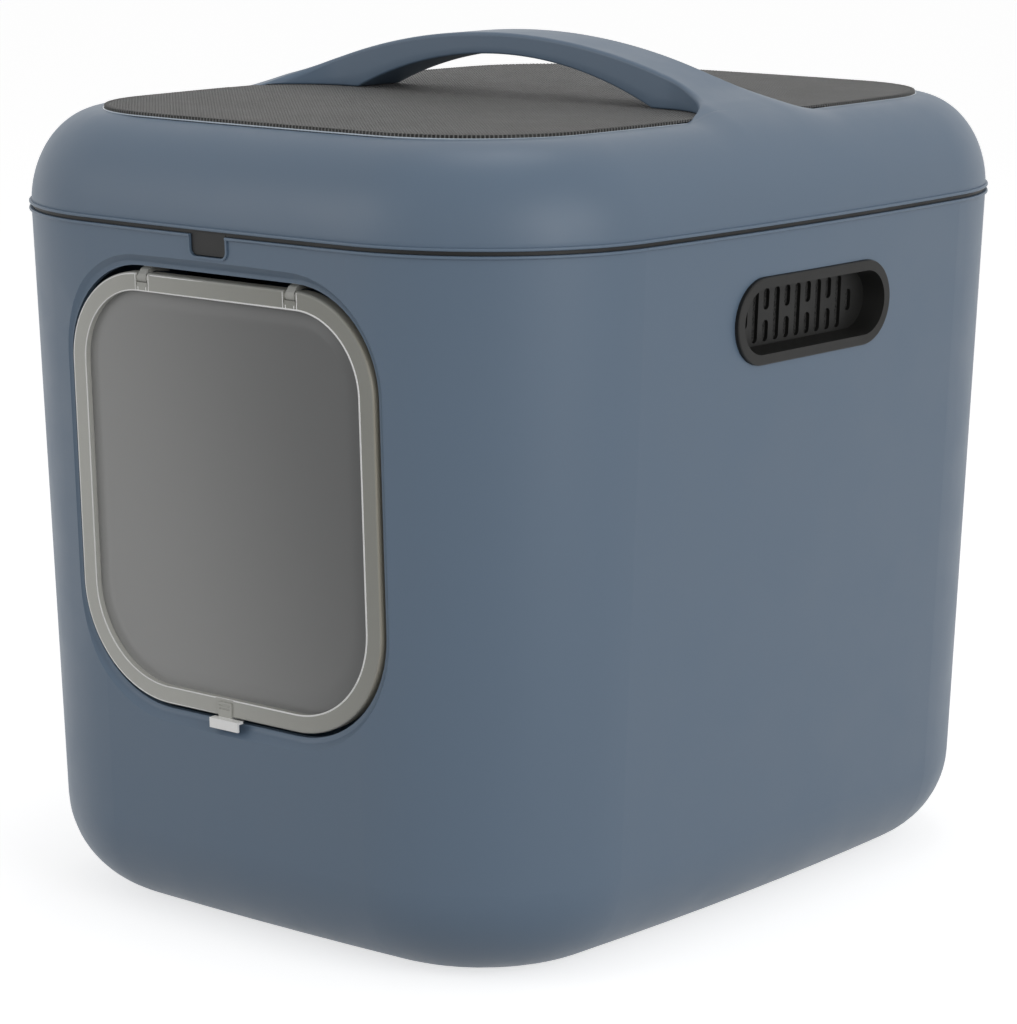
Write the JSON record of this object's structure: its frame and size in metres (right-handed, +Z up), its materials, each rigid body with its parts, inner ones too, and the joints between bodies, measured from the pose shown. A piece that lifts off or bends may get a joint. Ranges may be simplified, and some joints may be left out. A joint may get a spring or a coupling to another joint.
{
  "type": "litter box",
  "caption": "Tall enclosed litter box with a bulged tub, flap door with a sliding lock, vented sides, and a hinged mesh-topped lid with an arched carrying handle.",
  "frame": {"origin": "middle of the flat underside of the tub", "axes": "+Z up, +Y from the door at the front towards the lid hinge at the rear, X across the box"},
  "size_m": [0.4026, 0.5042, 0.4649],
  "materials": {
    "blue_plastic": "fine satin, slate blue",
    "black_plastic": "satin, black",
    "frame_plastic": "satin, charcoal",
    "mesh_plastic": "finely perforated, dark grey",
    "grey_plastic": "translucent grey",
    "smoke_plastic": "translucent smoke grey",
    "smoke_sheet": "translucent smoke grey, polished",
    "white_plastic": "translucent white",
    "carbon_foam": "granular black foam",
    "screw_steel": "zinc plated",
    "pin_steel": "plain ground"
  },
  "bodies": {
    "tub": {"tub": "blue_plastic", "left_vent_cup": "black_plastic", "right_vent_cup": "black_plastic", "left_carbon_filter": "carbon_foam", "right_carbon_filter": "carbon_foam", "left_filter_cover": "black_plastic", "right_filter_cover": "black_plastic", "left_door_hinge": "grey_plastic", "right_door_hinge": "grey_plastic", "door_hinge_screws": "screw_steel", "left_lid_hinge": "frame_plastic", "right_lid_hinge": "frame_plastic", "lid_hinge_screws": "screw_steel", "left_lid_pin": "pin_steel", "right_lid_pin": "pin_steel"},
    "lid": {"lid_shell": "blue_plastic", "lid_frame": "frame_plastic", "mesh_panel": "mesh_plastic", "lid_screws": "screw_steel"},
    "door": {"door_rim": "smoke_plastic", "door_panel": "smoke_sheet", "left_door_pin": "pin_steel", "right_door_pin": "pin_steel", "lock_keeper": "smoke_plastic"},
    "door_lock": {"lock_slider": "white_plastic"}
  },
  "joints": [
    {"name": "lid_hinge", "type": "hinge", "parent": "tub", "child": "lid", "pos_m": [0, 0.2524, 0.3769], "axis": [-1, 0, 0], "range_deg": [0, 100]},
    {"name": "door_swing", "type": "hinge", "parent": "tub", "child": "door", "pos_m": [0, -0.23838, 0.34918], "axis": [1, 0, 0], "range_deg": [-66, 66]},
    {"name": "door_lock_slide", "type": "slide", "parent": "door", "child": "door_lock", "axis": [0, -0.0401, 0.9992], "range_m": [0, 0.0036]}
  ]
}
